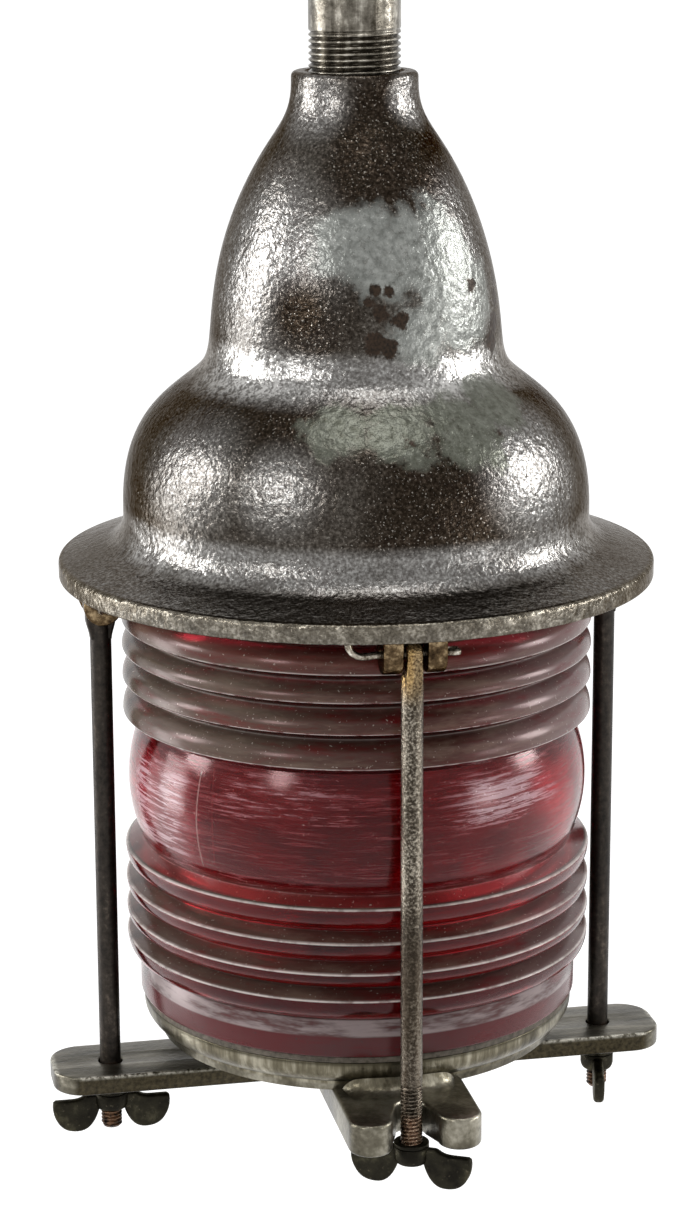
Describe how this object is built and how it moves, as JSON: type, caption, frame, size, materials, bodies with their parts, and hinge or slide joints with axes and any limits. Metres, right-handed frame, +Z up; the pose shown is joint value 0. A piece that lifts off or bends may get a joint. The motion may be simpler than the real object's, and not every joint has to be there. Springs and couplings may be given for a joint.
{
  "type": "bridge warning light",
  "caption": "Hanging warning light: an iron bonnet on a pipe over a red ribbed glass drum, closed by a forked base on swing bolts with wing nuts.",
  "frame": {"origin": "centre of the top end of the pipe, on the lamp's axis", "axes": "+Z up along the pipe, X along the cross bar, Y through the two forks"},
  "size_m": [0.2381, 0.2216, 0.4854],
  "materials": {
    "pipe_steel": "worn steel with rust in the threads",
    "burnished_iron": "burnished casting, granular, with old paint and rust",
    "packing": "matt",
    "ruby_glass": "clear deep red, pressed",
    "base_iron": "rubbed casting with bright edges",
    "bar_steel": "dark rolled steel, rubbed on top",
    "bolt_steel": "pitted bright steel",
    "dark_bolt_steel": "dark brown oxide",
    "pin_steel": "bright wire",
    "nut_iron": "dark olive patina",
    "strap_steel": "plain",
    "porcelain": "glazed",
    "socket_brass": "plain",
    "dark_insulation": "matt",
    "pale_insulation": "matt",
    "bulb_glass": "clear",
    "stem_glass": "clear",
    "filament_wire": "drawn wire"
  },
  "bodies": {
    "hood": {"pipe_nipple": "pipe_steel", "bonnet": "burnished_iron", "top_gasket": "packing", "eyebolt_left": "dark_bolt_steel", "eyebolt_right": "dark_bolt_steel", "split_pin_front": "pin_steel", "split_pin_back": "pin_steel", "split_pin_left": "pin_steel", "split_pin_right": "pin_steel", "lamp_strap": "strap_steel", "strap_screws": "strap_steel", "socket_body": "porcelain", "socket_shell": "socket_brass", "socket_contact": "socket_brass", "socket_screws": "socket_brass", "terminal_screws": "socket_brass", "lead_live": "dark_insulation", "lead_neutral": "pale_insulation", "bulb_glass": "bulb_glass", "bulb_cap": "socket_brass", "bulb_stem": "stem_glass", "bulb_filament": "filament_wire"},
    "lens_and_base": {"lens": "ruby_glass", "bottom_gasket": "packing", "base_plate": "base_iron", "cross_bar": "bar_steel", "bar_bolts": "bar_steel", "spacer_left": "nut_iron", "spacer_right": "nut_iron"},
    "bolt_front": {"eyebolt_front": "bolt_steel"},
    "bolt_back": {"eyebolt_back": "bolt_steel"},
    "ring_front": {"washer_front": "nut_iron"},
    "ring_back": {"washer_back": "nut_iron"},
    "nut_front": {"wing_nut_front": "nut_iron"},
    "nut_back": {"wing_nut_back": "nut_iron"},
    "nut_left": {"wing_nut_left": "nut_iron"},
    "nut_right": {"wing_nut_right": "nut_iron"}
  },
  "joints": [
    {"name": "base_drop", "type": "slide", "parent": "hood", "child": "lens_and_base", "axis": [0, 0, -1], "range_m": [0, 0.00423]},
    {"name": "wing_nut_left_turn", "type": "hinge", "parent": "lens_and_base", "child": "nut_left", "pos_m": [-0.0965, 0, -0.4573], "axis": [0, 0, -1], "range_deg": [0, 1080]},
    {"name": "wing_nut_right_turn", "type": "hinge", "parent": "lens_and_base", "child": "nut_right", "pos_m": [0.0965, 0, -0.4573], "axis": [0, 0, -1], "range_deg": [0, 1080]},
    {"name": "bolt_front_swing", "type": "hinge", "parent": "hood", "child": "bolt_front", "pos_m": [0, -0.0965, -0.2762], "axis": [-1, 0, 0], "range_deg": [0, 85]},
    {"name": "bolt_back_swing", "type": "hinge", "parent": "hood", "child": "bolt_back", "pos_m": [0, 0.0965, -0.2762], "axis": [1, 0, 0], "range_deg": [0, 85]},
    {"name": "ring_front_drop", "type": "slide", "parent": "bolt_front", "child": "ring_front", "axis": [0, 0, -1], "range_m": [0, 0.00423]},
    {"name": "ring_back_drop", "type": "slide", "parent": "bolt_back", "child": "ring_back", "axis": [0, 0, -1], "range_m": [0, 0.00423]},
    {"name": "wing_nut_front_turn", "type": "hinge", "parent": "ring_front", "child": "nut_front", "pos_m": [0, -0.0965, -0.4573], "axis": [0, 0, -1], "range_deg": [0, 1080]},
    {"name": "wing_nut_back_turn", "type": "hinge", "parent": "ring_back", "child": "nut_back", "pos_m": [0, 0.0965, -0.4573], "axis": [0, 0, -1], "range_deg": [0, 1080]}
  ],
  "couplings": [
    {"joint": "ring_front_drop", "follows": "base_drop", "ratio": 1},
    {"joint": "ring_back_drop", "follows": "base_drop", "ratio": 1},
    {"joint": "wing_nut_left_turn", "follows": "base_drop", "rad_per_m": 4453},
    {"joint": "wing_nut_right_turn", "follows": "base_drop", "rad_per_m": 4453},
    {"joint": "wing_nut_front_turn", "follows": "base_drop", "rad_per_m": 4453},
    {"joint": "wing_nut_back_turn", "follows": "base_drop", "rad_per_m": 4453}
  ]
}
